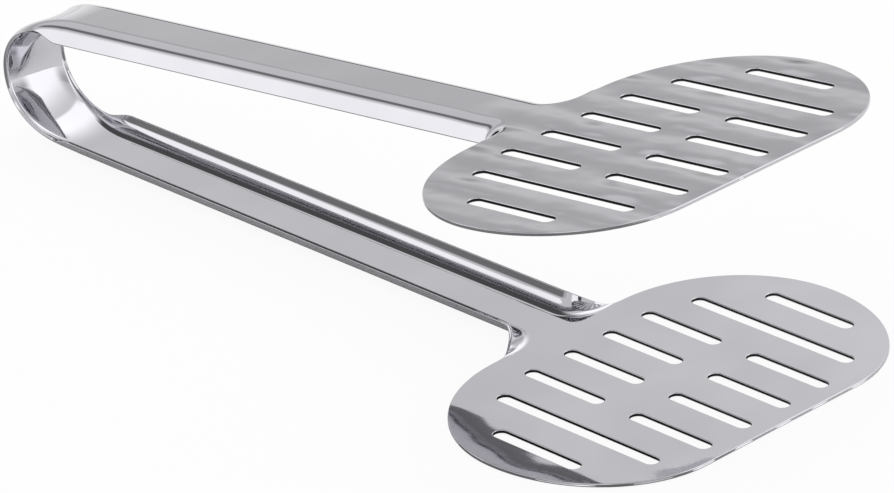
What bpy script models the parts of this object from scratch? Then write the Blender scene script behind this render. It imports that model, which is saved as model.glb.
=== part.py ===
"""Spatula tongs, pressed and bent from one strip of polished stainless steel.

The strip runs from the lower serving head along a flanged arm, round a spring bow and back
along the upper arm to the upper head. It is one piece of sheet. The model parts it at the
lines where it flexes and where one formed zone gives way to the next.

Frame: +X from the bow to the heads, +Y across, +Z up. The lower arm and head lie flat on Z = 0,
and the origin is under the middle of the whole outline. The upper half mirrors the lower one in
the plane that halves the opening angle.
"""
import math
from collections import namedtuple

import bmesh
import bpy
from mathutils import Matrix, Vector

# The sheet
SHEET = 0.0010
SEAM_GAP = 0.0003

# The spring bow, measured along the strip from its middle: where its bend runs out into the
# straight arm and where its flex line lies. The opening is the angle between the arms at rest.
BOW_BEND = 0.0374
FLEX_LINE = 0.0120
OPENING = math.radians(6.6)

# The arm's channel: half the flat web, the fold into the flange, the flange's straight lip
ARM_WEB = 0.0051
ARM_FOLD = 0.0062
ARM_LIP = 0.0017
ARM_TURN = math.radians(61)

# The shallow channel in the middle of the bow, and how far its web is pinched inwards
BOW_WEB = 0.0090
BOW_FOLD = 0.0014
BOW_LIP = 0.0009
BOW_TURN = math.radians(55)
BOW_PINCH = 0.0020

# Where the bow's folds and then its width start to turn into the arm's. They have done so where
# the bend runs out; the pinch fades over a longer way.
FOLD_CHANGE_START = 0.0037
WIDTH_CHANGE_START = 0.0266
PINCH_FADE_START = 0.0172
PINCH_FADE_END = 0.0524

# The head. The middle of its slots is measured along the strip from the middle of the bow. Its
# widest line and its shoulder lie back from there, and its front edge ahead.
HEAD_MIDDLE = 0.2600
HEAD_HALF_WIDTH = 0.0616
WIDEST_BACK = 0.0037
SHOULDER_BACK = 0.0418
FRONT_EDGE = 0.0370
FRONT_HALF = 0.0270

# The neck. The arm's edge goes round a concave fillet into the shoulder, and the flange follows it
# and runs out. The angles are the edge's turn; the reach is the band's width at the shoulder.
ARM_END_BACK = 0.0640
NECK_FILLET = 0.0092
RUN_OUT_START = math.radians(5)
RUN_OUT_END = math.radians(85)
NECK_REACH = 0.0075

# The slots: eight rows across the head, overall lengths; the margin is from the last row's middle
SIDE_MARGIN = 0.0126
SLOT_WIDTH = 0.0040
PAIR_SLOT = 0.0270
LONG_SLOT = 0.0555
END_SLOT = 0.0295
PAIR_SPACING = 0.0372
SLOT_ROWS = ("end", "long", "pair", "pair", "pair", "pair", "long", "end")

# Softened edges of the heads and slots
EDGE_SOFTENING = 0.0002

# Facets
FOLD_STEPS = 4
WEB_STEPS = 3
BOW_STEP = 0.00165
CURVE_STEPS = 200
FADE_STEPS = 4
NECK_STEPS = 10
CORNER_STEPS = 11
SLOT_END_STEPS = 6

# Worked out from the sizes above
HALF_OPENING = OPENING / 2
BOW_TURNS = math.pi / 2 - HALF_OPENING
ARM_END = HEAD_MIDDLE - ARM_END_BACK
FILLET_START = HEAD_MIDDLE - SHOULDER_BACK - NECK_FILLET
MIDDLE_ROW = (len(SLOT_ROWS) - 1) / 2
SLOT_PITCH = (HEAD_HALF_WIDTH - SIDE_MARGIN) / MIDDLE_ROW

Section = namedtuple("Section", "web fold turn half")


def section(web, fold, lip, turn):
    """Half of a channel's section; half is its flattened half width."""
    return Section(web, fold, turn, web + fold * turn + lip)


ARM_SECTION = section(ARM_WEB, ARM_FOLD, ARM_LIP, ARM_TURN)
BOW_SECTION = section(BOW_WEB, BOW_FOLD, BOW_LIP, BOW_TURN)
FILLET_MIDDLE = ARM_SECTION.half + NECK_FILLET


def smooth(share):
    """An even run from 0 to 1 with level ends."""
    share = min(max(share, 0.0), 1.0)
    return share * share * (3 - 2 * share)


def mix(first, second, share):
    """The section that lies the given share of the way from first to second."""
    return Section(*(a + (b - a) * share for a, b in zip(first, second)))


def change(place, start, end):
    """How far a change has come: 0 before its start, 1 after its end."""
    return smooth((place - start) / (end - start))


def section_at(station):
    """The channel's section at a distance along the strip from the middle of the bow."""
    folded = mix(BOW_SECTION, ARM_SECTION, change(station, FOLD_CHANGE_START, BOW_BEND))
    widened = mix(BOW_SECTION, ARM_SECTION, change(station, WIDTH_CHANGE_START, BOW_BEND))
    return folded._replace(half=widened.half)


def columns(shape):
    """Flattened distances from the middle line at which a row of points lies."""
    steps = [shape.fold * shape.turn * i / FOLD_STEPS for i in range(FOLD_STEPS + 1)]
    web = [shape.web * i / WEB_STEPS for i in range(WEB_STEPS)]
    return web + [shape.web + step for step in steps] + [shape.half]


def folded_over(past_web, fold, turn):
    """How far a point past the web draws in and rises when the flange is folded."""
    past_web = max(past_web, 0.0)
    angle = min(past_web / fold, turn)
    lip = past_web - fold * angle
    drawn_in = past_web - fold * math.sin(angle) - lip * math.cos(angle)
    return drawn_in, fold * (1 - math.cos(angle)) + lip * math.sin(angle)


def flange_share(edge_turn):
    """How much of the flange is left where the neck's edge has turned so far."""
    return 1 - change(edge_turn, RUN_OUT_START, RUN_OUT_END)


def folded_place(station, distance):
    """Where a flat point goes when the flanges are folded: station, across and rise."""
    side = math.copysign(1.0, distance)
    if station <= FILLET_START:
        shape = section_at(station)
        drawn_in, rise = folded_over(abs(distance) - shape.web, shape.fold, shape.turn)
        return station, side * (abs(distance) - drawn_in), rise
    past_start = station - FILLET_START
    from_middle = FILLET_MIDDLE - abs(distance)
    edge_turn = math.atan2(past_start, from_middle)
    share = flange_share(edge_turn)
    if share <= 0:
        return station, distance, 0.0
    inset = math.hypot(past_start, from_middle) - NECK_FILLET
    past_web = (ARM_SECTION.half - ARM_WEB) * share - inset
    drawn_in, rise = folded_over(past_web, ARM_FOLD * math.sqrt(share), ARM_TURN)
    across = side * (abs(distance) - drawn_in * math.cos(edge_turn))
    return station + drawn_in * math.sin(edge_turn), across, rise


def heading(station):
    """The strip's slope in side view; its bend is tightest in the middle of the bow."""
    along = min(station / BOW_BEND, 1.0)
    return HALF_OPENING + BOW_TURNS * (3 * along - along ** 3) / 2


def bow_curve():
    """The strip's middle line in side view, from the middle of the bow down to the lower arm."""
    step = BOW_BEND / CURVE_STEPS
    points = [Vector((0, 0, 0))]
    for i in range(CURVE_STEPS):
        angle = heading(step * (i + 1 / 2))
        points.append(points[-1] + Vector((step * math.sin(angle), 0, -step * math.cos(angle))))
    above_ground = Vector((0, 0, SHEET / 2 - points[-1].z))
    return [point + above_ground for point in points]


BOW_CURVE = bow_curve()


def middle_line(station):
    """A point of the strip's middle line; the arm and the head go straight on from the bow."""
    if station >= BOW_BEND:
        return BOW_CURVE[-1] + Vector((station - BOW_BEND, 0, 0))
    place = CURVE_STEPS * station / BOW_BEND
    before = int(place)
    return BOW_CURVE[before].lerp(BOW_CURVE[before + 1], place - before)


def formed(station, distance):
    """A point of the flat strip, in the formed tongs; the lower half of the bow and its arm."""
    place, across, rise = folded_place(station, distance)
    pinch = BOW_PINCH * (1 - change(station, PINCH_FADE_START, PINCH_FADE_END))
    rise += pinch * (1 - (distance / section_at(station).half) ** 2)
    angle = heading(place)
    return middle_line(place) + Vector((rise * math.cos(angle), across, rise * math.sin(angle)))


def mirrored():
    """The reflection in the plane that halves the opening angle."""
    normal = Vector((-math.sin(HALF_OPENING), 0, math.cos(HALF_OPENING)))
    reflection = Matrix.Scale(-1, 4, normal)
    return Matrix.Translation(BOW_CURVE[0]) @ reflection @ Matrix.Translation(-BOW_CURVE[0])


def centring():
    """Moves the middle of the outline over the origin; the bow is rearmost where it stands upright."""
    upright = BOW_BEND * HALF_OPENING / BOW_TURNS * 2 / 3
    back = (mirrored() @ formed(upright, BOW_WEB)).x - SHEET / 2
    front = middle_line(HEAD_MIDDLE + FRONT_EDGE).x
    return Vector((-(back + front) / 2, 0, 0))


def spaced(start, end, step):
    """Evenly spaced values from start to end, no further apart than step."""
    count = max(1, math.ceil(abs(end - start) / step))
    return [start + (end - start) * i / count for i in range(count + 1)]


def add_quads(mesh, rows):
    """Faces between rows of points."""
    for near, far in zip(rows, rows[1:]):
        for i in range(len(near) - 1):
            mesh.faces.new((near[i], far[i], far[i + 1], near[i + 1]))


def strip_sheet(stations):
    """A stretch of the flat strip, with one row of points for each station."""
    mesh = bmesh.new()
    rows = []
    for station in stations:
        half_row = columns(section_at(abs(station)))
        row = [-distance for distance in reversed(half_row[1:])] + half_row
        rows.append([mesh.verts.new((station, distance, 0)) for distance in row])
    add_quads(mesh, rows)
    return mesh


def form(mesh):
    """Fold and bend the flat strip. A negative station lies on the bow's upper half."""
    reflection = mirrored()
    for vert in mesh.verts:
        station, distance = vert.co.x, vert.co.y
        vert.co = formed(abs(station), distance)
        if station < 0:
            vert.co = reflection @ vert.co


def corner(middle_x, middle_y, reach_x, reach_y, start, end):
    """Points of an elliptical corner, without its first one."""
    angles = [start + (end - start) * (i + 1) / CORNER_STEPS for i in range(CORNER_STEPS)]
    return [(middle_x + reach_x * math.cos(a), middle_y + reach_y * math.sin(a)) for a in angles]


def neck_rows():
    """Flat points of the flange's band on one side of the neck, row by row from the edge inwards."""
    insets = [ARM_SECTION.half - distance for distance in reversed(columns(ARM_SECTION)[WEB_STEPS:])]
    rows = [[(ARM_END + SEAM_GAP / 2, ARM_SECTION.half - inset) for inset in insets]]
    for i in range(NECK_STEPS + 1):
        edge_turn = math.pi / 2 * i / NECK_STEPS
        share = flange_share(edge_turn)
        row = []
        for j, inset in enumerate(insets):
            spread = NECK_REACH * j / (len(insets) - 1)
            radius = NECK_FILLET + spread + (inset - spread) * share
            row.append((FILLET_START + radius * math.sin(edge_turn),
                        FILLET_MIDDLE - radius * math.cos(edge_turn)))
        rows.append(row)
    return rows


def head_half_outline():
    """The head's edge on the flat strip, from the neck's shoulder to the front edge's corner."""
    widest = HEAD_MIDDLE - WIDEST_BACK
    back = corner(widest, FILLET_MIDDLE, SHOULDER_BACK - WIDEST_BACK,
                  HEAD_HALF_WIDTH - FILLET_MIDDLE, math.pi, math.pi / 2)
    front = corner(widest, FRONT_HALF, WIDEST_BACK + FRONT_EDGE,
                   HEAD_HALF_WIDTH - FRONT_HALF, math.pi / 2, 0)
    return back + front


def slot_outline(middle_x, middle_y, length):
    """A slot with round ends."""
    radius = SLOT_WIDTH / 2
    straight = length / 2 - radius
    points = []
    for end, first in ((straight, -math.pi / 2), (-straight, math.pi / 2)):
        for i in range(SLOT_END_STEPS + 1):
            angle = first + math.pi * i / SLOT_END_STEPS
            points.append((middle_x + end + radius * math.cos(angle), middle_y + radius * math.sin(angle)))
    return points


def slots():
    """Every slot of one head, row by row from the far side."""
    outlines = []
    for row, kind in enumerate(SLOT_ROWS):
        y = SLOT_PITCH * (MIDDLE_ROW - row)
        if kind == "pair":
            for side in (-1, 1):
                outlines.append(slot_outline(HEAD_MIDDLE + side * PAIR_SPACING / 2, y, PAIR_SLOT))
        else:
            length = LONG_SLOT if kind == "long" else END_SLOT
            outlines.append(slot_outline(HEAD_MIDDLE, y, length))
    return outlines


def closed_edges(mesh, points):
    """A closed loop of edges through the given points of the flat strip."""
    verts = [mesh.verts.new((x, y, 0)) for x, y in points]
    return [mesh.edges.new(pair) for pair in zip(verts, verts[1:] + verts[:1])]


def head_side(mesh, side):
    """The flange's band and the head's edge on one side. Returns the points round the flat plate."""
    rows = [[mesh.verts.new((x, side * y, 0)) for x, y in row] for row in neck_rows()]
    add_quads(mesh, rows)
    edge = [mesh.verts.new((x, side * y, 0)) for x, y in head_half_outline()]
    return [row[-1] for row in rows] + rows[-1][-2::-1] + edge


def head_sheet():
    """The flanges' bands round the neck, and the slotted plate filled in between them."""
    mesh = bmesh.new()
    right = head_side(mesh, 1)
    left = head_side(mesh, -1)
    rim = right + left[::-1]
    edges = [mesh.edges.get(pair) or mesh.edges.new(pair) for pair in zip(rim, rim[1:] + rim[:1])]
    for outline in slots():
        edges += closed_edges(mesh, outline)
    bmesh.ops.triangle_fill(mesh, use_beauty=True, edges=edges, normal=(0, 0, 1))
    return mesh


def arm_sheet():
    """The arm, from the end of the bow to the neck; its web is flat once the pinch has run out."""
    start = BOW_BEND + SEAM_GAP / 2
    fade = spaced(start, PINCH_FADE_END, (PINCH_FADE_END - start) / FADE_STEPS)
    return strip_sheet(fade + [ARM_END - SEAM_GAP / 2])


def bow_side_sheet():
    """The stiffer part of the bow beside an arm, from the flex line to the arm."""
    return strip_sheet(spaced(FLEX_LINE + SEAM_GAP / 2, BOW_BEND - SEAM_GAP / 2, BOW_STEP))


def bow_middle_sheet():
    """The springy middle of the bow, between the two flex lines."""
    reach = FLEX_LINE - SEAM_GAP / 2
    return strip_sheet(spaced(-reach, reach, BOW_STEP))


def steel(name, roughness):
    """Polished stainless steel."""
    material = bpy.data.materials.new(name)
    material.use_nodes = True
    surface = material.node_tree.nodes["Principled BSDF"]
    surface.inputs["Base Color"].default_value = (0.62, 0.62, 0.63, 1)
    surface.inputs["Metallic"].default_value = 1.0
    surface.inputs["Roughness"].default_value = roughness
    return material


def add_part(name, sheet, upper, pivot, parent, material, soft_edges=False):
    """Form a flat sheet, give it its thickness and hang it on its body's empty."""
    form(sheet)
    if upper:
        bmesh.ops.transform(sheet, matrix=mirrored(), verts=sheet.verts)
    bmesh.ops.translate(sheet, vec=-pivot, verts=sheet.verts)
    bmesh.ops.recalc_face_normals(sheet, faces=sheet.faces)
    data = bpy.data.meshes.new(name)
    sheet.to_mesh(data)
    sheet.free()
    data.materials.append(material)
    part = bpy.data.objects.new(name, data)
    collection.objects.link(part)
    part.parent = parent
    thickness = part.modifiers.new("sheet", "SOLIDIFY")
    thickness.thickness = SHEET
    thickness.offset = 0
    thickness.use_even_offset = True
    if soft_edges:
        bevel = part.modifiers.new("softened edges", "BEVEL")
        bevel.width = EDGE_SOFTENING
        bevel.segments = 1
        bevel.angle_limit = math.radians(50)
    data.shade_smooth()
    data.set_sharp_from_angle(angle=math.radians(40))
    return part


def add_pivot(name, offset, parent=None):
    """An empty that carries a body; a moving body's empty lies on its flex line."""
    empty = bpy.data.objects.new(name, None)
    empty.empty_display_size = FLEX_LINE
    collection.objects.link(empty)
    empty.parent = parent
    empty.location = offset
    return empty


for old in list(bpy.data.objects):
    bpy.data.objects.remove(old)

collection = bpy.data.collections.new("spatula_tongs")
bpy.context.scene.collection.children.link(collection)

lower_flex = formed(FLEX_LINE, 0.0)
upper_flex = mirrored() @ lower_flex
ground = Vector((0, 0, 0))

lower_half = add_pivot("lower_half", centring())
bow = add_pivot("bow", lower_flex, lower_half)
upper_half = add_pivot("upper_half", upper_flex - lower_flex, bow)

head_steel = steel("polished head", 0.08)
arm_steel = steel("polished arm", 0.06)
bow_steel = steel("polished bow", 0.06)

add_part("lower_head", head_sheet(), False, ground, lower_half, head_steel, soft_edges=True)
add_part("lower_arm", arm_sheet(), False, ground, lower_half, arm_steel)
add_part("lower_bow", bow_side_sheet(), False, ground, lower_half, bow_steel)
add_part("middle_bow", bow_middle_sheet(), False, lower_flex, bow, bow_steel)
add_part("upper_bow", bow_side_sheet(), True, upper_flex, upper_half, bow_steel)
add_part("upper_arm", arm_sheet(), True, upper_flex, upper_half, arm_steel)
add_part("upper_head", head_sheet(), True, upper_flex, upper_half, head_steel, soft_edges=True)
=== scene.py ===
"""Spatula tongs of polished stainless sheet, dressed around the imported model.

Every visible surface is one sheet, laid out flat and then folded and bent as the real strip is. A flat
point has a station, the distance along the strip from the middle of the bow, a distance from its
middle line, and a depth in the sheet. The pieces meet edge to edge, so no seam shows between them.
"""
import math
from collections import namedtuple

import bmesh
import bpy
from mathutils import Matrix, Vector


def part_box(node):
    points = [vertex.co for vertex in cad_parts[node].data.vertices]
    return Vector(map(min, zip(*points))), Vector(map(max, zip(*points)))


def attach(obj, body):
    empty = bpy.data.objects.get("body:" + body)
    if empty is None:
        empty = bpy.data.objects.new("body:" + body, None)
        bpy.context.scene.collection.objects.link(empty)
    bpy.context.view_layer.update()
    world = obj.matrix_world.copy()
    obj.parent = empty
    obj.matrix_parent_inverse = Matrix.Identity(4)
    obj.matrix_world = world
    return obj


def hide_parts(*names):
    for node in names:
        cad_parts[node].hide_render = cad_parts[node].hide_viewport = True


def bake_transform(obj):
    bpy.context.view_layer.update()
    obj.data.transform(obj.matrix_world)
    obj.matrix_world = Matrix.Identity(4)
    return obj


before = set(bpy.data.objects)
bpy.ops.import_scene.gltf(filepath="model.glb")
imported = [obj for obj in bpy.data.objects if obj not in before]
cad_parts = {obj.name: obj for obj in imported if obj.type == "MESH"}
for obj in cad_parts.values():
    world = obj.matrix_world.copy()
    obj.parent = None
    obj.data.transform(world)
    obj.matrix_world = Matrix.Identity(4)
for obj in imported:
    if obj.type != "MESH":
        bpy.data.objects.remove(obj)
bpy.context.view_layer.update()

# The sheet and its rounded cut edge
SHEET = 0.0010
EDGE_ROUNDING = 0.00024
RIM_STEPS = 4

# The spring bow, and the angle between the arms at rest
BOW_BEND = 0.0374
OPENING = math.radians(6.6)

# The arm's channel: half the flat web, the fold into the flange, the flange's straight lip
ARM_WEB = 0.0051
ARM_FOLD = 0.0062
ARM_LIP = 0.0017
ARM_TURN = math.radians(61)

# The shallow channel in the middle of the bow, and how far its web is pinched inwards. The folds and
# then the width start to turn into the arm's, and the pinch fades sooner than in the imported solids.
BOW_WEB = 0.0090
BOW_FOLD = 0.0014
BOW_LIP = 0.0009
BOW_TURN = math.radians(55)
BOW_PINCH = 0.0020
FOLD_CHANGE_START = 0.0037
WIDTH_CHANGE_START = 0.0266
PINCH_FADE_START = 0.0120
PINCH_FADE_END = 0.0400

# The head. The middle of its slots is measured along the strip from the middle of the bow. Its
# widest line and its shoulder lie back from there, and its front edge ahead.
HEAD_MIDDLE = 0.2600
HEAD_HALF_WIDTH = 0.0616
WIDEST_BACK = 0.0037
SHOULDER_BACK = 0.0418
FRONT_EDGE = 0.0370
FRONT_HALF = 0.0270

# The neck. The arm's edge goes round a concave fillet into the shoulder, and the flange follows it
# and runs out. The angles are the edge's turn. The rows of points follow the flange in, down to the
# least band, and go on to the reach, which is that at the arm and then that at the shoulder.
ARM_END_BACK = 0.0640
NECK_FILLET = 0.0092
RUN_OUT_START = math.radians(5)
RUN_OUT_END = math.radians(85)
LEAST_BAND = 0.0009
ARM_REACH = 0.0098
SHOULDER_REACH = 0.0075
REACH_STEPS = 4

# The slots: eight rows across the head, overall lengths; the margin is from the last row's middle
SIDE_MARGIN = 0.0126
SLOT_WIDTH = 0.0040
PAIR_SLOT = 0.0270
LONG_SLOT = 0.0555
END_SLOT = 0.0295
PAIR_SPACING = 0.0372
SLOT_ROWS = ("end", "long", "pair", "pair", "pair", "pair", "long", "end")

# Worked out from the sizes above
HALF_OPENING = OPENING / 2
BOW_TURNS = math.pi / 2 - HALF_OPENING
ARM_END = HEAD_MIDDLE - ARM_END_BACK
FILLET_START = HEAD_MIDDLE - SHOULDER_BACK - NECK_FILLET
MIDDLE_ROW = (len(SLOT_ROWS) - 1) / 2
SLOT_PITCH = (HEAD_HALF_WIDTH - SIDE_MARGIN) / MIDDLE_ROW

# Facets
CURVE_STEPS = 800
BOW_STEP = 0.0005
FADE_STEP = 0.0010
ARM_STEP = 0.0120
NECK_STEPS = 60
WEB_STEPS = 8
FOLD_STEPS = 12
LIP_STEPS = 3
CORNER_STEPS = 48
SLOT_END_STEPS = 14
NUDGE = 0.00001

# The photograph's camera
CAMERA_PLACE = (0.995806, -0.869800, 0.643984)
CAMERA_TURN = tuple(math.radians(angle) for angle in (64.0998, 3.5803, 46.4244))
CAMERA_LENS = 224.17
SENSOR_WIDTH = 36.0

# The steel: its polished faces, and the slots' raw walls, which are rough cuts with a near-black colour that
# is painted shade
POLISHED_DARK = (0.605, 0.60, 0.635)
POLISHED_LIGHT = (0.645, 0.64, 0.675)
POLISHED_ROUGHNESS = (0.02, 0.06)
# Painted shade: the slot walls' near-black colour stands in for the shade inside the slots
RAW_PAINTED_SHADE_COLOUR = (0.03, 0.03, 0.03)
RAW_ROUGHNESS = 0.45

# Noise patterns on the flat strip: how closely they are packed along it, across it and in its depth,
# their size and their detail. Noise lies between its start and its end almost everywhere.
NOISE_START = 0.3
NOISE_END = 0.7
Pattern = namedtuple("Pattern", "scale size detail")
SHADES = Pattern((1, 1, 1), 0.030, 2.0)
POLISHING_LINES = Pattern((0.04, 1, 1), 0.0004, 3.0)
SHEET_WAVES = Pattern((0.5, 1, 1), 0.020, 1.0)
LONG_WAVES = Pattern((0.8, 1, 1), 0.022, 1.0)
RIDGE_PATCHES = Pattern((0.6, 1, 1), 0.015, 2.0)
DENTS = Pattern((0.8, 1, 1), 0.008, 0.0)
BEND_MARKS = Pattern((1, 0.25, 1), 0.006, 1.0)

# How high they stand; the least share of the ridges' height, and where in the bow the marks fade
LINES_HEIGHT = 0.00002
LINES_STRENGTH = 0.05
SHEET_WAVES_HEIGHT = 0.00006
LONG_WAVES_HEIGHT = 0.0005
RIDGES_HEIGHT = 0.00020
LEAST_RIDGE_SHARE = 0.3
DENTS_HEIGHT = 0.00018
BEND_MARKS_HEIGHT = 0.00004
BEND_MARKS_FADE_SHARE = 0.6

# The lower head's ends: where they start to bend back, and half of their curvature
BENT_START = 0.034
BENT_CURVE = 0.6

# The floor is a white card with a share of its own light. The steel sees painted shade on it: a dark card as
# far as the front line, and less and less so from there to the back line.
FLOOR_SIZE = 12.0
FLOOR_DROP = 0.0002
FLOOR_ROUGHNESS = 0.9
FLOOR_CARD = (0.9, 0.9, 0.9)
FLOOR_LIGHT_SHARE = 0.92
# Painted shade, which only the steel's reflections see on the floor
FLOOR_PAINTED_SHADE = (0.25, 0.25, 0.25)
FLOOR_FRONT = -0.045
FLOOR_BACK = 0.010

# The light all round and the soft lamp
LIGHT_LEVEL = 0.82
LAMP_SIZE = 1.2
LAMP_POWER = 6.0
LAMP_PLACE = (-0.4, 0.6, 1.6)

# The studio that the polished steel sees, by the height z of a direction. Its wall is white at the foot,
# darkens upwards over the low wall, and changes to one level where the high wall begins.
FOOT_LEVEL = 1.0
LOW_WALL_LEVEL = 0.56
LOW_WALL = (0.0, 0.33)
WALL_LEVEL = 0.77
HIGH_WALL = (0.34, 0.40)

# The patches on the wall, each over the ones before it. A fade is a pair of values of a direction's x,
# y, z or slope y / x: the patch is off at the first and full at the second. A level is one number, or
# a run of levels along x with its start and end.
HORIZON_LEVEL = 0.12
BACK_LEVEL = 1.55
FAR_BACK_LEVEL = 0.92
CEILING_LEVEL = 0.09
GAP_LEVEL = 0.22
SCREEN_LEVEL = 1.35
SIDE_LEVEL = 0.22
Patch = namedtuple("Patch", "label level x y z slope", defaults=((), (), (), ()))
PANEL_FADES = ((0.20, 0.38), (0.88, 0.76))
ARMS_FADES = ((-0.90, -0.86), (-0.28, -0.50))
PATCHES = (
    Patch("dark line low behind", HORIZON_LEVEL,
          x=((-0.30, -0.50),), y=((0.575, 0.635), (0.92, 0.85)), z=((0.20, 0.05),)),
    Patch("far half of the panel high at the back", (FAR_BACK_LEVEL, BACK_LEVEL, 0.02, 0.70),
          x=((-0.06, 0.02),), y=PANEL_FADES),
    Patch("bright half of the panel", BACK_LEVEL,
          x=((-0.68, -0.30), (0.02, -0.06)), y=PANEL_FADES),
    Patch("dark ceiling strip", CEILING_LEVEL,
          x=((-0.76, -0.72), (-0.36, -0.58)), y=((0.50, 0.46), (-0.25, -0.10)), z=((0.25, 0.35),)),
    Patch("gap at the strip's end", GAP_LEVEL,
          x=((-0.70, -0.74),), z=((0.40, 0.50),), slope=((-0.10, -0.03), (0.16, 0.08))),
    Patch("bright screen", SCREEN_LEVEL,
          x=ARMS_FADES, z=((0.12, 0.20), (0.70, 0.62)), slope=((0.15, 0.36), (0.91, 0.84))),
    Patch("dark side panel", SIDE_LEVEL,
          x=ARMS_FADES, z=((0.34, 0.30),), slope=((0.84, 0.91), (1.25, 1.12))),
)

# The round spots over the patches. A fade is of the cosine of the angle to the spot's middle.
Spot = namedtuple("Spot", "label level middle fade")
SPOTS = (
    Spot("light by the camera", SCREEN_LEVEL, (0.390, -0.767, 0.509), (0.945, 0.965)),
    Spot("camera", CEILING_LEVEL, (0.651, -0.614, 0.445), (0.986, 0.994)),
)

Section = namedtuple("Section", "web fold turn half")
Edge = namedtuple("Edge", "x y normal_x normal_y")


def section(web, fold, lip, turn):
    """Half of a channel's section; half is its flattened half width."""
    return Section(web, fold, turn, web + fold * turn + lip)


ARM_SECTION = section(ARM_WEB, ARM_FOLD, ARM_LIP, ARM_TURN)
BOW_SECTION = section(BOW_WEB, BOW_FOLD, BOW_LIP, BOW_TURN)
FILLET_MIDDLE = ARM_SECTION.half + NECK_FILLET


def smooth(share):
    """An even run from 0 to 1 with level ends."""
    share = min(max(share, 0.0), 1.0)
    return share * share * (3 - 2 * share)


def mix(first, second, share):
    """The section that lies the given share of the way from first to second."""
    return Section(*(a + (b - a) * share for a, b in zip(first, second)))


def change(place, start, end):
    """How far a change has come: 0 before its start, 1 after its end."""
    return smooth((place - start) / (end - start))


def section_at(station):
    """The channel's section at a distance along the strip from the middle of the bow."""
    folded = mix(BOW_SECTION, ARM_SECTION, change(station, FOLD_CHANGE_START, BOW_BEND))
    widened = mix(BOW_SECTION, ARM_SECTION, change(station, WIDTH_CHANGE_START, BOW_BEND))
    return folded._replace(half=widened.half)


def columns(shape):
    """Flattened distances from the middle line at which a row of points lies, without the edge's."""
    fold_end = shape.web + shape.fold * shape.turn
    lip_end = shape.half - EDGE_ROUNDING
    web = [shape.web * i / WEB_STEPS for i in range(WEB_STEPS)]
    fold = [shape.web + (fold_end - shape.web) * i / FOLD_STEPS for i in range(FOLD_STEPS + 1)]
    lip = [fold_end + (lip_end - fold_end) * i / LIP_STEPS for i in range(1, LIP_STEPS)]
    return web + fold + lip


def folded_over(past_web, fold, turn):
    """How far a point past the web draws in and rises when the flange is folded."""
    past_web = max(past_web, 0.0)
    angle = min(past_web / fold, turn)
    lip = past_web - fold * angle
    drawn_in = past_web - fold * math.sin(angle) - lip * math.cos(angle)
    return drawn_in, fold * (1 - math.cos(angle)) + lip * math.sin(angle)


def flange_share(edge_turn):
    """How much of the flange is left where the neck's edge has turned so far."""
    return 1 - change(edge_turn, RUN_OUT_START, RUN_OUT_END)


def folded_place(station, distance):
    """Where a flat point goes when the flanges are folded: station, across and rise."""
    side = math.copysign(1.0, distance)
    if station <= FILLET_START:
        shape = section_at(station)
        drawn_in, rise = folded_over(abs(distance) - shape.web, shape.fold, shape.turn)
        return station, side * (abs(distance) - drawn_in), rise
    past_start = station - FILLET_START
    from_middle = FILLET_MIDDLE - abs(distance)
    edge_turn = math.atan2(past_start, from_middle)
    share = flange_share(edge_turn)
    if share <= 0:
        return station, distance, 0.0
    inset = math.hypot(past_start, from_middle) - NECK_FILLET
    past_web = (ARM_SECTION.half - ARM_WEB) * share - inset
    drawn_in, rise = folded_over(past_web, ARM_FOLD * math.sqrt(share), ARM_TURN)
    across = side * (abs(distance) - drawn_in * math.cos(edge_turn))
    return station + drawn_in * math.sin(edge_turn), across, rise


def lifted(station, distance):
    """As folded_place, with the pinch of the bow's web."""
    place, across, rise = folded_place(station, distance)
    pinch = BOW_PINCH * (1 - change(station, PINCH_FADE_START, PINCH_FADE_END))
    return place, across, rise + pinch * (1 - (distance / section_at(station).half) ** 2)


def heading(station):
    """The strip's slope in side view; its bend is tightest in the middle of the bow."""
    along = min(station / BOW_BEND, 1.0)
    return HALF_OPENING + BOW_TURNS * (3 * along - along ** 3) / 2


def bending(station):
    """How fast the slope changes along the strip."""
    along = min(station / BOW_BEND, 1.0)
    return BOW_TURNS * 3 / 2 * (1 - along ** 2) / BOW_BEND


def bow_curve():
    """The strip's middle line in side view, from the middle of the bow down to the lower arm."""
    step = BOW_BEND / CURVE_STEPS
    points = [Vector((0, 0, 0))]
    for i in range(CURVE_STEPS):
        angle = heading(step * (i + 1 / 2))
        points.append(points[-1] + Vector((step * math.sin(angle), 0, -step * math.cos(angle))))
    above_ground = Vector((0, 0, SHEET / 2 - points[-1].z))
    return [point + above_ground for point in points]


def middle_line(station):
    """A point of the strip's middle line; the arm and the head go straight on from the bow."""
    if station >= BOW_BEND:
        return BOW_CURVE[-1] + Vector((station - BOW_BEND, 0, 0))
    place = CURVE_STEPS * station / BOW_BEND
    before = int(place)
    return BOW_CURVE[before].lerp(BOW_CURVE[before + 1], place - before)


def centring():
    """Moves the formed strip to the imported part, whose lower head ends at the front edge."""
    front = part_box("lower_head")[1].x
    return Vector((front - middle_line(HEAD_MIDDLE + FRONT_EDGE).x, 0, 0))


BOW_CURVE = bow_curve()
CENTRING = centring()
APEX = BOW_CURVE[0] + CENTRING


def mirrored():
    """The reflection in the plane that halves the opening angle."""
    normal = Vector((-math.sin(HALF_OPENING), 0, math.cos(HALF_OPENING)))
    return Matrix.Translation(APEX) @ Matrix.Scale(-1, 4, normal) @ Matrix.Translation(-APEX)


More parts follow.
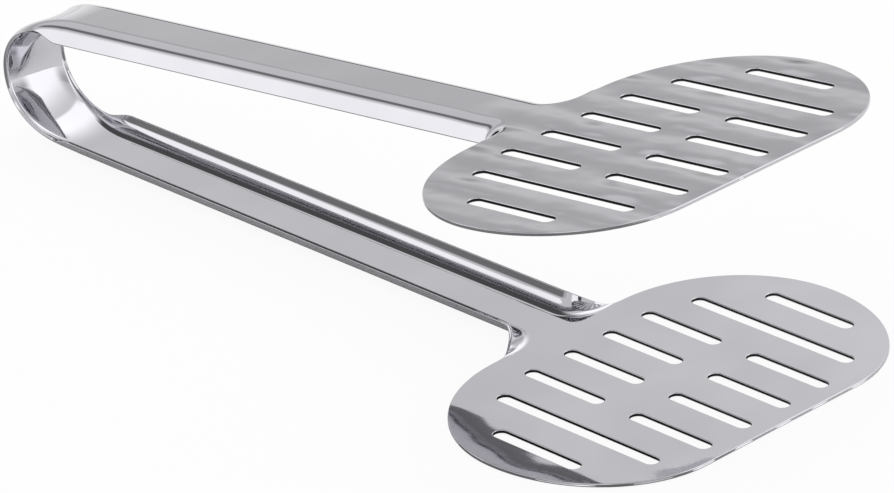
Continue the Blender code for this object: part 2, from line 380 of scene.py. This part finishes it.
def formed(point, normal):
    """A flat point and its direction, in the lower half of the formed tongs."""
    station, distance, depth = point
    here = lifted(station, distance)
    ahead = [(b - a) / NUDGE for a, b in zip(here, lifted(station + NUDGE, distance))]
    beside = [(b - a) / NUDGE for a, b in zip(here, lifted(station, distance + NUDGE))]
    place, across, rise = here
    angle = heading(place)
    forward = Vector((math.sin(angle), 0, -math.cos(angle)))
    sideways = Vector((0, 1, 0))
    inward = Vector((math.cos(angle), 0, math.sin(angle)))
    along = forward * ahead[0] * (1 - rise * bending(place)) + sideways * ahead[1] + inward * ahead[2]
    over = forward * beside[0] + sideways * beside[1] + inward * beside[2]
    facing = along.cross(over).normalized()
    along.normalize()
    over = facing.cross(along)
    spot = middle_line(place) + CENTRING + sideways * across + inward * rise + facing * depth
    return spot, (along * normal[0] + over * normal[1] + facing * normal[2]).normalized()


class Sheet:
    """Points of a flat sheet with their directions, and the faces between them."""

    def __init__(self):
        self.points = []
        self.normals = []
        self.raw_with_painted_shade_shares = []
        self.faces = []

    def add(self, x, y, depth, normal, raw_with_painted_shade=0.0):
        """Adds a point and returns its number; its last value is 1 on a cut that isn't polished, which is
        rough and gets painted shade.
        """
        self.points.append((x, y, depth))
        self.normals.append(normal)
        self.raw_with_painted_shade_shares.append(raw_with_painted_shade)
        return len(self.points) - 1

    def add_quads(self, near, far):
        """Faces between two rows of as many points."""
        for i in range(len(near) - 1):
            self.faces.append((near[i], far[i], far[i + 1], near[i + 1]))

    def add_rim(self, edges, closed=False):
        """The rounded edge. Returns its rings of points, each from the inner face to the outer.

        The closed rim of a slot keeps its raw cut between the roundings, marked to be rough and painted
        near-black as shade.
        """
        steps = [math.pi / 2 * i / RIM_STEPS for i in range(RIM_STEPS + 1)]
        profile = [(EDGE_ROUNDING * (1 - math.sin(a)), EDGE_ROUNDING * (1 - math.cos(a)), a) for a in steps]
        rings = []
        for edge in edges:
            inner = []
            outer = []
            for inset, drop, angle in profile:
                x = edge.x - edge.normal_x * inset
                y = edge.y - edge.normal_y * inset
                flat = (edge.normal_x * math.sin(angle), edge.normal_y * math.sin(angle))
                # A slot's wall is marked as a rough cut that gets painted shade
                raw_with_painted_shade = float(closed and angle == steps[-1])
                inner.append(self.add(x, y, SHEET / 2 - drop, (*flat, math.cos(angle)), raw_with_painted_shade))
                outer.append(self.add(x, y, drop - SHEET / 2, (*flat, -math.cos(angle)), raw_with_painted_shade))
            rings.append(inner + outer[::-1])
        pairs = list(zip(rings, rings[1:]))
        if closed:
            pairs.append((rings[-1], rings[0]))
        for near, far in pairs:
            self.add_quads(near, far)
        return rings

    def add_rows(self, stations, left, right):
        """Rows of points across the strip between the two edges' rings, on both faces."""
        inner_rows = []
        outer_rows = []
        for station, start, end in zip(stations, left, right):
            half_row = columns(section_at(station))
            row = [-distance for distance in reversed(half_row[1:])] + half_row
            inner = [self.add(station, distance, SHEET / 2, (0, 0, 1)) for distance in row]
            outer = [self.add(station, distance, -SHEET / 2, (0, 0, -1)) for distance in row]
            inner_rows.append([start[0]] + inner + [end[0]])
            outer_rows.append([start[-1]] + outer + [end[-1]])
        for rows in (inner_rows, outer_rows):
            for near, far in zip(rows, rows[1:]):
                self.add_quads(near, far)
        return inner_rows, outer_rows

    def add_end(self, inner, outer, *rings):
        """Closes the sheet where it meets the next piece."""
        self.add_quads(inner, outer)
        for ring in rings:
            self.faces.append(tuple(ring))

    def fill(self, loops):
        """Fills the flat plate between closed loops, given as pairs of an inner and an outer point."""
        flat = bmesh.new()
        verts = {}
        edges = []
        for loop in loops:
            for inner, outer in loop:
                x, y, depth = self.points[inner]
                verts[flat.verts.new((x, y, 0))] = (inner, outer)
            ring = list(verts)[-len(loop):]
            edges += [flat.edges.new(pair) for pair in zip(ring, ring[1:] + ring[:1])]
        bmesh.ops.triangle_fill(flat, use_beauty=True, edges=edges, normal=(0, 0, 1))
        for face in flat.faces:
            for side in (0, 1):
                self.faces.append(tuple(verts[vert][side] for vert in face.verts))
        flat.free()


def spaced(start, end, step):
    """Evenly spaced values from start to end, no further apart than step."""
    count = max(1, math.ceil(abs(end - start) / step))
    return [start + (end - start) * i / count for i in range(count + 1)]


def side_edges(stations, side):
    """The strip's edge at the given stations; side is 1 or -1."""
    edges = []
    for station in stations:
        half = section_at(station).half
        slope = (section_at(station + NUDGE).half - section_at(station - NUDGE).half) / (2 * NUDGE)
        length = math.hypot(1, slope)
        edges.append(Edge(station, side * half, -slope / length, side / length))
    return edges


def strip_sheet(stations):
    """A stretch of the strip, closed at both ends."""
    sheet = Sheet()
    right = sheet.add_rim(side_edges(stations, 1))
    left = sheet.add_rim(side_edges(stations, -1))
    inner, outer = sheet.add_rows(stations, left, right)
    for end in (0, -1):
        sheet.add_end(inner[end], outer[end], left[end], right[end])
    return sheet


def bow_sheet():
    """Half of the bow."""
    return strip_sheet(spaced(0.0, BOW_BEND, BOW_STEP))


def arm_sheet():
    """The arm, from the bow to the neck; its web is flat once the pinch has run out."""
    fade = spaced(BOW_BEND, PINCH_FADE_END, FADE_STEP)
    return strip_sheet(fade + spaced(PINCH_FADE_END, ARM_END, ARM_STEP)[1:])


def arc(middle_x, middle_y, reach_x, reach_y, start, end, steps):
    """Edges along an elliptical corner, without its first one."""
    edges = []
    for i in range(steps):
        angle = start + (end - start) * (i + 1) / steps
        x = math.cos(angle)
        y = math.sin(angle)
        length = math.hypot(x / reach_x, y / reach_y)
        edges.append(Edge(middle_x + reach_x * x, middle_y + reach_y * y,
                          x / reach_x / length, y / reach_y / length))
    return edges


def neck_edges():
    """The head's edge on one side of the neck, round the fillet to the shoulder."""
    edges = [Edge(ARM_END, ARM_SECTION.half, 0.0, 1.0)]
    for i in range(NECK_STEPS + 1):
        edge_turn = math.pi / 2 * i / NECK_STEPS
        x = math.sin(edge_turn)
        y = math.cos(edge_turn)
        edges.append(Edge(FILLET_START + NECK_FILLET * x, FILLET_MIDDLE - NECK_FILLET * y, -x, y))
    return edges


def neck_rows(edges):
    """Flat points of the flange's band along the neck's edge, each row from the edge inwards."""
    flange = ARM_SECTION.half - ARM_WEB
    insets = [ARM_SECTION.half - distance for distance in reversed(columns(ARM_SECTION)[WEB_STEPS:])]
    shares = [(inset - EDGE_ROUNDING) / (flange - EDGE_ROUNDING) for inset in insets]
    rows = []
    for edge in edges:
        edge_turn = math.atan2(-edge.normal_x, edge.normal_y)
        band = max(flange * flange_share(edge_turn), LEAST_BAND)
        reach = ARM_REACH + (SHOULDER_REACH - ARM_REACH) * edge_turn / (math.pi / 2)
        inwards = [EDGE_ROUNDING + (band - EDGE_ROUNDING) * share for share in shares]
        inwards += [band + (reach - band) * (i + 1) / REACH_STEPS for i in range(REACH_STEPS)]
        rows.append([(edge.x - edge.normal_x * way, edge.y - edge.normal_y * way) for way in inwards])
    return rows


def shoulder_edges():
    """The head's edge on one side, from the shoulder to the front edge's corner."""
    widest = HEAD_MIDDLE - WIDEST_BACK
    back = arc(widest, FILLET_MIDDLE, SHOULDER_BACK - WIDEST_BACK, HEAD_HALF_WIDTH - FILLET_MIDDLE,
               math.pi, math.pi / 2, CORNER_STEPS)
    front = arc(widest, FRONT_HALF, WIDEST_BACK + FRONT_EDGE, HEAD_HALF_WIDTH - FRONT_HALF,
                math.pi / 2, 0, CORNER_STEPS)
    return back + front


def slot_edges(middle_x, middle_y, length):
    """A slot with round ends; the directions point into the slot."""
    radius = SLOT_WIDTH / 2
    straight = length / 2 - radius
    edges = []
    for end, first in ((straight, -math.pi / 2), (-straight, math.pi / 2)):
        for i in range(SLOT_END_STEPS + 1):
            angle = first + math.pi * i / SLOT_END_STEPS
            x = math.cos(angle)
            y = math.sin(angle)
            edges.append(Edge(middle_x + end + radius * x, middle_y + radius * y, -x, -y))
    return edges


def slots():
    """Every slot of one head, row by row from the far side."""
    outlines = []
    for row, kind in enumerate(SLOT_ROWS):
        y = SLOT_PITCH * (MIDDLE_ROW - row)
        if kind == "pair":
            for side in (-1, 1):
                outlines.append(slot_edges(HEAD_MIDDLE + side * PAIR_SPACING / 2, y, PAIR_SLOT))
        else:
            length = LONG_SLOT if kind == "long" else END_SLOT
            outlines.append(slot_edges(HEAD_MIDDLE, y, length))
    return outlines


def add_head_side(sheet, side):
    """Half of the head's rim and one flange's band.

    Returns pairs of points round the flat plate, and the ring of points in the middle of the front edge.
    """
    neck = neck_edges()
    outline = neck + shoulder_edges()
    rings = sheet.add_rim([edge._replace(y=side * edge.y, normal_y=side * edge.normal_y) for edge in outline])
    faces = []
    for end, depth in ((0, SHEET / 2), (-1, -SHEET / 2)):
        facing = (0, 0, math.copysign(1.0, depth))
        rows = []
        for ring, row in zip(rings, neck_rows(neck)):
            rows.append([ring[end]] + [sheet.add(x, side * y, depth, facing) for x, y in row])
        for near, far in zip(rows, rows[1:]):
            sheet.add_quads(near, far)
        faces.append(rows)
    sheet.add_end(faces[0][0], faces[1][0], rings[0])
    plate = []
    for end, rows in zip((0, -1), faces):
        plate.append([row[-1] for row in rows] + rows[-1][-2::-1] + [ring[end] for ring in rings[len(neck):]])
    return list(zip(*plate)), rings[-1]


def head_sheet():
    """The flanges' bands round the neck, and the slotted plate filled in between them."""
    sheet = Sheet()
    right, right_front = add_head_side(sheet, 1)
    left, left_front = add_head_side(sheet, -1)
    sheet.add_quads(right_front, left_front)
    sheet.faces.append((right[0][0], right[0][1], left[0][1], left[0][0]))
    loops = [right + left[::-1]]
    for edges in slots():
        loops.append([(ring[0], ring[-1]) for ring in sheet.add_rim(edges, closed=True)])
    sheet.fill(loops)
    return sheet


def formed_mesh(name, sheet, upper):
    """A flat sheet's mesh once it is formed, with each point's flat place and whether it is a raw cut, which
    gets painted shade.
    """
    places = [formed(point, normal) for point, normal in zip(sheet.points, sheet.normals)]
    reflection = mirrored() if upper else Matrix.Identity(4)
    turn = reflection.to_3x3()
    mesh = bpy.data.meshes.new(name)
    mesh.from_pydata([reflection @ place for place, normal in places], [], sheet.faces)
    solid = bmesh.new()
    solid.from_mesh(mesh)
    bmesh.ops.recalc_face_normals(solid, faces=solid.faces)
    solid.to_mesh(mesh)
    solid.free()
    way = -1.0 if upper else 1.0
    strip = mesh.attributes.new("strip", "FLOAT_VECTOR", "POINT")
    for value, (station, distance, depth) in zip(strip.data, sheet.points):
        value.vector = (way * station, distance, depth)
    # Marks the raw cuts, which the steel makes rough and paints with shade
    mesh.attributes.new("raw_with_painted_shade", "FLOAT", "POINT").data.foreach_set("value", sheet.raw_with_painted_shade_shares)
    mesh.shade_smooth()
    mesh.normals_split_custom_set_from_vertices([turn @ normal for place, normal in places])
    return mesh


def sheet_piece(name, sheet, upper, material, slot, *nodes):
    """Forms a flat sheet into a piece, which stands for the given nodes."""
    mesh = formed_mesh(name, sheet, upper)
    mesh.materials.append(material)
    piece = bpy.data.objects.new(name, mesh)
    bpy.context.scene.collection.objects.link(piece)
    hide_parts(*nodes)
    return piece


def new_material(name):
    """An empty node material, its tree and its Principled surface."""
    material = bpy.data.materials.new(name)
    material.use_nodes = True
    return material, material.node_tree, material.node_tree.nodes["Principled BSDF"]


def add_node(tree, kind, **settings):
    """A node with its properties, and its inputs where a setting names one."""
    node = tree.nodes.new(kind)
    for key, value in settings.items():
        if key in node.inputs:
            node.inputs[key].default_value = value
        else:
            setattr(node, key, value)
    return node


def strip_noise(tree, pattern):
    """Noise laid out on the flat strip."""
    place = add_node(tree, "ShaderNodeAttribute", attribute_name="strip")
    scaled = add_node(tree, "ShaderNodeMapping")
    scaled.inputs["Scale"].default_value = pattern.scale
    noise = add_node(tree, "ShaderNodeTexNoise", Scale=1 / pattern.size, Detail=pattern.detail)
    tree.links.new(place.outputs["Vector"], scaled.inputs["Vector"])
    tree.links.new(scaled.outputs["Vector"], noise.inputs["Vector"])
    return noise.outputs["Fac"]


def ramp(tree, value, low, high, start=NOISE_START, end=NOISE_END):
    """A number that runs smoothly from low to high while the value goes from start to end."""
    spread = add_node(tree, "ShaderNodeMapRange", interpolation_type="SMOOTHSTEP")
    tree.links.new(value, spread.inputs["Value"])
    for key, number in (("From Min", start), ("From Max", end), ("To Min", low), ("To Max", high)):
        spread.inputs[key].default_value = number
    return spread.outputs["Result"]


def faded(tree, value, off, full):
    """0 where a value is short of off and 1 where it is past full, on whichever side full lies."""
    if off < full:
        return ramp(tree, value, 0.0, 1.0, off, full)
    return ramp(tree, value, 1.0, 0.0, full, off)


def mixed_colour(tree, factor, low, high):
    """A colour that runs from low to high with the factor; low may be another colour's output."""
    both = add_node(tree, "ShaderNodeMix", data_type="RGBA")
    tree.links.new(factor, both.inputs["Factor"])
    both.inputs["B"].default_value = (*high, 1)
    if isinstance(low, tuple):
        both.inputs["A"].default_value = (*low, 1)
    else:
        tree.links.new(low, both.inputs["A"])
    return both.outputs["Result"]


def product(tree, first, *others):
    """The product of some values."""
    for other in others:
        times = add_node(tree, "ShaderNodeMath", operation="MULTIPLY")
        tree.links.new(first, times.inputs[0])
        tree.links.new(other, times.inputs[1])
        first = times.outputs["Value"]
    return first


def between(tree, factor, low, high, label=""):
    """A value that runs from low to high with the factor; either may be a number or another value."""
    both = add_node(tree, "ShaderNodeMix", data_type="FLOAT", label=label)
    tree.links.new(factor, both.inputs["Factor"])
    for key, value in (("A", low), ("B", high)):
        if isinstance(value, float):
            both.inputs[key].default_value = value
        else:
            tree.links.new(value, both.inputs[key])
    return both.outputs["Result"]


def parts_of(tree, vector):
    """The three parts of a vector."""
    split = add_node(tree, "ShaderNodeSeparateXYZ")
    tree.links.new(vector, split.inputs["Vector"])
    return split.outputs["X"], split.outputs["Y"], split.outputs["Z"]


def steel_nodes(name):
    """Mirror-polished stainless sheet with faint polishing lines, and raw cuts where slots were punched,
    rough and painted near-black as shade.

    Returns the material, its tree and the bump of the lines, which a bump of longer waves can lead into.
    """
    material, tree, surface = new_material(name)
    surface.inputs["Metallic"].default_value = 1.0
    shade = ramp(tree, strip_noise(tree, SHADES), 0.0, 1.0)
    polished = mixed_colour(tree, shade, POLISHED_DARK, POLISHED_LIGHT)
    raw_with_painted_shade = add_node(tree, "ShaderNodeAttribute", attribute_name="raw_with_painted_shade").outputs["Fac"]
    # Painted shade: the raw cuts' colour is near-black, standing in for the shade in the slots
    tree.links.new(mixed_colour(tree, raw_with_painted_shade, polished, RAW_PAINTED_SHADE_COLOUR), surface.inputs["Base Color"])
    lines = strip_noise(tree, POLISHING_LINES)
    roughness = between(tree, raw_with_painted_shade, ramp(tree, lines, *POLISHED_ROUGHNESS), RAW_ROUGHNESS)
    tree.links.new(roughness, surface.inputs["Roughness"])
    fine = add_node(tree, "ShaderNodeBump", Strength=LINES_STRENGTH, Distance=LINES_HEIGHT)
    tree.links.new(lines, fine.inputs["Height"])
    tree.links.new(fine.outputs["Normal"], surface.inputs["Normal"])
    return material, tree, fine


def add_waves(tree, fine, *heights):
    """Long shallow waves in the sheet, as pairs of a value and the height that it stands for."""
    normal = None
    for value, height in heights:
        waves = add_node(tree, "ShaderNodeBump", Strength=1.0, Distance=height)
        tree.links.new(value, waves.inputs["Height"])
        if normal:
            tree.links.new(normal, waves.inputs["Normal"])
        normal = waves.outputs["Normal"]
    tree.links.new(normal, fine.inputs["Normal"])


def calculated(tree, value, *steps):
    """A value after some steps, each an operation and its second number where it takes one."""
    for operation, *numbers in steps:
        result = add_node(tree, "ShaderNodeMath", operation=operation)
        tree.links.new(value, result.inputs[0])
        for place, number in enumerate(numbers, 1):
            result.inputs[place].default_value = number
        value = result.outputs["Value"]
    return value


def strip_place(tree):
    """Where a point lies: along the strip, below zero on the upper half, across it, and its depth."""
    return parts_of(tree, add_node(tree, "ShaderNodeAttribute", attribute_name="strip").outputs["Vector"])


def sheet_waves(tree):
    """The sheet's own waves, which run on from piece to piece."""
    return strip_noise(tree, SHEET_WAVES), SHEET_WAVES_HEIGHT


def head_waves(tree):
    """What punching leaves, from the neck on: the lower head's ends bent back a little, and on the outer
    face ridges along the rows of slots and dents about them. Pairs of a value and its height.
    """
    along, across, depth = strip_place(tree)
    from_bow = calculated(tree, along, ("ABSOLUTE",))
    lower = ramp(tree, along, 0.0, 1.0, ARM_END, HEAD_MIDDLE - SHOULDER_BACK)
    head = ramp(tree, from_bow, 0.0, 1.0, ARM_END, HEAD_MIDDLE - SHOULDER_BACK)
    outside = product(tree, head, ramp(tree, depth, 1.0, 0.0, -SHEET / 4, SHEET / 4))
    bent = calculated(tree, across, ("ABSOLUTE",), ("SUBTRACT", BENT_START), ("MAXIMUM", 0.0), ("POWER", 2.0))
    ridges = calculated(tree, across, ("MULTIPLY", 2 * math.pi / SLOT_PITCH), ("COSINE",))
    patches = ramp(tree, strip_noise(tree, RIDGE_PATCHES), LEAST_RIDGE_SHARE, 1.0)
    return ((product(tree, bent, lower), -BENT_CURVE),
            (product(tree, ridges, patches, outside), RIDGES_HEIGHT),
            (product(tree, strip_noise(tree, DENTS), outside), DENTS_HEIGHT),
            (product(tree, strip_noise(tree, LONG_WAVES), head), LONG_WAVES_HEIGHT))


def bend_marks(tree):
    """Faint ripples across the strip, where it was bent round."""
    from_bow = calculated(tree, strip_place(tree)[0], ("ABSOLUTE",))
    bow = ramp(tree, from_bow, 1.0, 0.0, BOW_BEND * BEND_MARKS_FADE_SHARE, BOW_BEND)
    return product(tree, strip_noise(tree, BEND_MARKS), bow), BEND_MARKS_HEIGHT


def head_steel():
    """The steel of a head, with what punching leaves."""
    material, tree, fine = steel_nodes("head_steel")
    add_waves(tree, fine, sheet_waves(tree), *head_waves(tree))
    return material


def arm_steel():
    """The steel of an arm."""
    material, tree, fine = steel_nodes("arm_steel")
    add_waves(tree, fine, sheet_waves(tree))
    return material


def bow_steel():
    """The steel of the bow, with the marks of its bending."""
    material, tree, fine = steel_nodes("bow_steel")
    add_waves(tree, fine, sheet_waves(tree), bend_marks(tree))
    return material


def studio_level(tree):
    """How bright the studio is in each direction, as polished steel sees it."""
    direction = add_node(tree, "ShaderNodeTexCoord").outputs["Generated"]
    x, y, z = parts_of(tree, direction)
    slope = add_node(tree, "ShaderNodeMath", operation="DIVIDE")
    tree.links.new(y, slope.inputs[0])
    tree.links.new(x, slope.inputs[1])
    axes = {"x": x, "y": y, "z": z, "slope": slope.outputs["Value"]}
    low_wall = ramp(tree, z, FOOT_LEVEL, LOW_WALL_LEVEL, *LOW_WALL)
    level = between(tree, faded(tree, z, *HIGH_WALL), low_wall, WALL_LEVEL)
    for patch in PATCHES:
        shares = [faded(tree, axes[axis], *fade) for axis in axes for fade in getattr(patch, axis)]
        own = ramp(tree, x, *patch.level) if isinstance(patch.level, tuple) else patch.level
        level = between(tree, product(tree, *shares), level, own, patch.label)
    for spot in SPOTS:
        cosine = add_node(tree, "ShaderNodeVectorMath", operation="DOT_PRODUCT")
        cosine.inputs[1].default_value = spot.middle
        tree.links.new(direction, cosine.inputs[0])
        share = faded(tree, cosine.outputs["Value"], *spot.fade)
        level = between(tree, share, level, spot.level, spot.label)
    return level


def direct_share(tree, share):
    """The share for what the camera sees straight on or through glass, and nothing for other rays."""
    path = add_node(tree, "ShaderNodeLightPath")
    either = add_node(tree, "ShaderNodeMath", operation="MAXIMUM")
    tree.links.new(path.outputs["Is Camera Ray"], either.inputs[0])
    tree.links.new(path.outputs["Is Transmission Ray"], either.inputs[1])
    return between(tree, either.outputs["Value"], 0.0, share)


def studio_world():
    """A plain light from all round and a white backdrop; polished steel sees the studio in it."""
    world = bpy.data.worlds.new("studio")
    world.use_nodes = True
    tree = world.node_tree
    light = tree.nodes["Background"]
    light.inputs["Color"].default_value = (1, 1, 1, 1)
    light.inputs["Strength"].default_value = LIGHT_LEVEL
    backdrop = add_node(tree, "ShaderNodeBackground", Color=(1, 1, 1, 1), Strength=1.0)
    studio = add_node(tree, "ShaderNodeBackground", Color=(1, 1, 1, 1))
    tree.links.new(studio_level(tree), studio.inputs["Strength"])
    path = add_node(tree, "ShaderNodeLightPath")
    reflected = add_node(tree, "ShaderNodeMixShader")
    tree.links.new(path.outputs["Is Glossy Ray"], reflected.inputs["Fac"])
    tree.links.new(light.outputs["Background"], reflected.inputs[1])
    tree.links.new(studio.outputs["Background"], reflected.inputs[2])
    seen = add_node(tree, "ShaderNodeMixShader")
    tree.links.new(direct_share(tree, 1.0), seen.inputs["Fac"])
    tree.links.new(reflected.outputs["Shader"], seen.inputs[1])
    tree.links.new(backdrop.outputs["Background"], seen.inputs[2])
    tree.links.new(seen.outputs["Shader"], tree.nodes["World Output"].inputs["Surface"])
    bpy.context.scene.world = world


def floor_material():
    """White card that keeps the object's shadow; polished steel sees painted shade on it in front of the
    tongs.
    """
    material, tree, surface = new_material("floor")
    surface.inputs["Roughness"].default_value = FLOOR_ROUGHNESS
    place = add_node(tree, "ShaderNodeTexCoord").outputs["Object"]
    # Painted shade: the floor is darker to glossy rays in front of the tongs
    front = faded(tree, parts_of(tree, place)[1], FLOOR_BACK, FLOOR_FRONT)
    glossy = add_node(tree, "ShaderNodeLightPath").outputs["Is Glossy Ray"]
    card_with_painted_shade = mixed_colour(tree, product(tree, glossy, front), FLOOR_CARD, FLOOR_PAINTED_SHADE)
    tree.links.new(card_with_painted_shade, surface.inputs["Base Color"])
    white = add_node(tree, "ShaderNodeEmission", Color=(1, 1, 1, 1), Strength=1.0)
    both = add_node(tree, "ShaderNodeMixShader")
    tree.links.new(direct_share(tree, FLOOR_LIGHT_SHARE), both.inputs["Fac"])
    tree.links.new(surface.outputs["BSDF"], both.inputs[1])
    tree.links.new(white.outputs["Emission"], both.inputs[2])
    tree.links.new(both.outputs["Shader"], tree.nodes["Material Output"].inputs["Surface"])
    return material


def add_floor():
    """A plain floor just under the tongs."""
    mesh = bpy.data.meshes.new("floor")
    plane = bmesh.new()
    bmesh.ops.create_grid(plane, x_segments=1, y_segments=1, size=FLOOR_SIZE / 2)
    plane.to_mesh(mesh)
    plane.free()
    mesh.materials.append(floor_material())
    floor = bpy.data.objects.new("floor", mesh)
    floor.location.z = -FLOOR_DROP
    bpy.context.scene.collection.objects.link(floor)


def add_camera():
    """The photograph's camera."""
    data = bpy.data.cameras.new("camera")
    data.lens = CAMERA_LENS
    data.sensor_width = SENSOR_WIDTH
    camera = bpy.data.objects.new("camera", data)
    camera.location = CAMERA_PLACE
    camera.rotation_euler = CAMERA_TURN
    bpy.context.scene.collection.objects.link(camera)
    bpy.context.scene.camera = camera


def add_soft_lamp():
    """A large soft lamp high over the tongs."""
    data = bpy.data.lights.new("soft lamp", "AREA")
    data.shape = "DISK"
    data.size = LAMP_SIZE
    data.energy = LAMP_POWER
    lamp = bpy.data.objects.new("soft_lamp", data)
    lamp.visible_glossy = False
    lamp.location = LAMP_PLACE
    lamp.rotation_euler = (-lamp.location).to_track_quat("-Z", "Y").to_euler()
    bpy.context.scene.collection.objects.link(lamp)


def add_half(side, upper, head, arm, bow):
    """The head, the arm and half of the bow on one side."""
    body = side + "_half"
    for name, sheet, material in (("head", head_sheet(), head), ("arm", arm_sheet(), arm)):
        node = side + "_" + name
        piece = sheet_piece(node + "_steel", sheet, upper, material, name + "_steel", node)
        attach(piece, body)
    node = side + "_bow"
    half_bow = sheet_piece(node + "_steel", bow_sheet(), upper, bow, "bow_steel", node, "middle_bow")
    if upper:
        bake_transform(half_bow)
    else:
        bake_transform(half_bow)


def add_tongs():
    """Both halves of the strip."""
    steels = head_steel(), arm_steel(), bow_steel()
    add_half("lower", False, *steels)
    add_half("upper", True, *steels)


add_camera()
add_floor()
studio_world()
add_soft_lamp()
add_tongs()

bpy.context.scene.view_settings.view_transform = "Standard"
